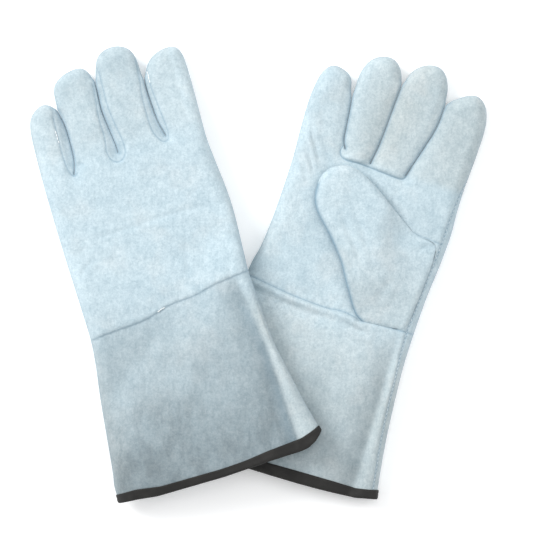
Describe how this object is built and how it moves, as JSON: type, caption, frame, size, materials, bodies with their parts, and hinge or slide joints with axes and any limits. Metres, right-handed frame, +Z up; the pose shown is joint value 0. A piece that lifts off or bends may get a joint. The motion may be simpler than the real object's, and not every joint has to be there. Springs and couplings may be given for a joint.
{
  "type": "welding gloves",
  "caption": "Pair of split leather welding gauntlets with lining, fourchettes, folded thumbs and bound flared cuffs, laid flat with one cuff over the other.",
  "frame": {"origin": "middle of the pair's footprint on the surface it lies on", "axes": "+Z up off the surface, +Y from the cuffs towards the fingertips, +X from the left-hand glove to the right-hand glove"},
  "size_m": [0.3711, 0.3723, 0.0416],
  "materials": {
    "leather": "suede split leather, pale blue grey",
    "lining": "brushed cotton fleece",
    "binding": "woven black tape"
  },
  "bodies": {
    "right_hand": {"right_cuff_back": "leather", "right_cuff_front": "leather", "right_cuff_lining": "lining", "right_hand_back": "leather", "right_hand_lining": "lining", "right_hem_binding": "binding", "right_palm": "leather", "right_seam_welt": "leather", "right_thumb_base": "leather"},
    "right_index": {"right_index_back": "leather", "right_index_fourchette_left": "leather", "right_index_front": "leather", "right_index_lining": "lining"},
    "right_middle": {"right_middle_back": "leather", "right_middle_fourchette_left": "leather", "right_middle_fourchette_right": "leather", "right_middle_front": "leather", "right_middle_lining": "lining"},
    "right_ring": {"right_ring_back": "leather", "right_ring_fourchette_left": "leather", "right_ring_fourchette_right": "leather", "right_ring_front": "leather", "right_ring_lining": "lining"},
    "right_little": {"right_little_back": "leather", "right_little_fourchette_right": "leather", "right_little_front": "leather", "right_little_lining": "lining"},
    "right_thumb": {"right_thumb_back": "leather", "right_thumb_front": "leather", "right_thumb_lining": "lining"},
    "left_hand": {"left_cuff_back": "leather", "left_cuff_front": "leather", "left_cuff_lining": "lining", "left_hand_back": "leather", "left_hand_lining": "lining", "left_hem_binding": "binding", "left_palm": "leather", "left_seam_welt": "leather", "left_thumb_base": "leather"},
    "left_index": {"left_index_back": "leather", "left_index_fourchette_left": "leather", "left_index_front": "leather", "left_index_lining": "lining"},
    "left_middle": {"left_middle_back": "leather", "left_middle_fourchette_left": "leather", "left_middle_fourchette_right": "leather", "left_middle_front": "leather", "left_middle_lining": "lining"},
    "left_ring": {"left_ring_back": "leather", "left_ring_fourchette_left": "leather", "left_ring_fourchette_right": "leather", "left_ring_front": "leather", "left_ring_lining": "lining"},
    "left_little": {"left_little_back": "leather", "left_little_fourchette_right": "leather", "left_little_front": "leather", "left_little_lining": "lining"},
    "left_thumb": {"left_thumb_back": "leather", "left_thumb_front": "leather", "left_thumb_lining": "lining"}
  },
  "joints": [
    {"name": "right_little_bend", "type": "hinge", "parent": "right_hand", "child": "right_little", "pos_m": [0.04758, 0.10122, 0.0175], "axis": [0.9511, -0.309, 0], "range_deg": [0, 75], "stiffness_Nm_per_rad": 0.03},
    {"name": "right_ring_bend", "type": "hinge", "parent": "right_hand", "child": "right_ring", "pos_m": [0.07811, 0.0913, 0.0175], "axis": [0.9511, -0.309, 0], "range_deg": [0, 75], "stiffness_Nm_per_rad": 0.03},
    {"name": "right_middle_bend", "type": "hinge", "parent": "right_hand", "child": "right_middle", "pos_m": [0.10569, 0.08234, 0.0175], "axis": [0.9511, -0.309, 0], "range_deg": [0, 75], "stiffness_Nm_per_rad": 0.03},
    {"name": "right_index_bend", "type": "hinge", "parent": "right_hand", "child": "right_index", "pos_m": [0.14411, 0.06985, 0.0175], "axis": [0.9511, -0.309, 0], "range_deg": [0, 75], "stiffness_Nm_per_rad": 0.03},
    {"name": "right_thumb_swing", "type": "hinge", "parent": "right_hand", "child": "right_thumb", "pos_m": [0.11162, -0.00438, 0.0331], "axis": [0.6561, 0.7547, 0], "range_deg": [0, 70], "stiffness_Nm_per_rad": 0.05},
    {"name": "left_little_bend", "type": "hinge", "parent": "left_hand", "child": "left_little", "pos_m": [-0.16142, 0.07516, 0.0151], "axis": [-0.9603, -0.279, 0], "range_deg": [0, 75], "stiffness_Nm_per_rad": 0.03},
    {"name": "left_ring_bend", "type": "hinge", "parent": "left_hand", "child": "left_ring", "pos_m": [-0.12949, 0.08443, 0.0151], "axis": [-0.9603, -0.279, 0], "range_deg": [0, 75], "stiffness_Nm_per_rad": 0.03},
    {"name": "left_middle_bend", "type": "hinge", "parent": "left_hand", "child": "left_middle", "pos_m": [-0.09204, 0.09531, 0.0151], "axis": [-0.9603, -0.279, 0], "range_deg": [0, 75], "stiffness_Nm_per_rad": 0.03},
    {"name": "left_index_bend", "type": "hinge", "parent": "left_hand", "child": "left_index", "pos_m": [-0.05651, 0.10564, 0.0151], "axis": [-0.9603, -0.279, 0], "range_deg": [0, 75], "stiffness_Nm_per_rad": 0.03},
    {"name": "left_thumb_swing", "type": "hinge", "parent": "left_hand", "child": "left_thumb", "pos_m": [-0.03623, 0.02755, -0.0005], "axis": [-0.1184, -0.993, 0], "range_deg": [0, 70], "stiffness_Nm_per_rad": 0.05},
    {"name": "left_glove_lift", "type": "slide", "parent": "right_hand", "child": "left_hand", "axis": [0, 0, 1], "range_m": [0, 0.15]}
  ]
}
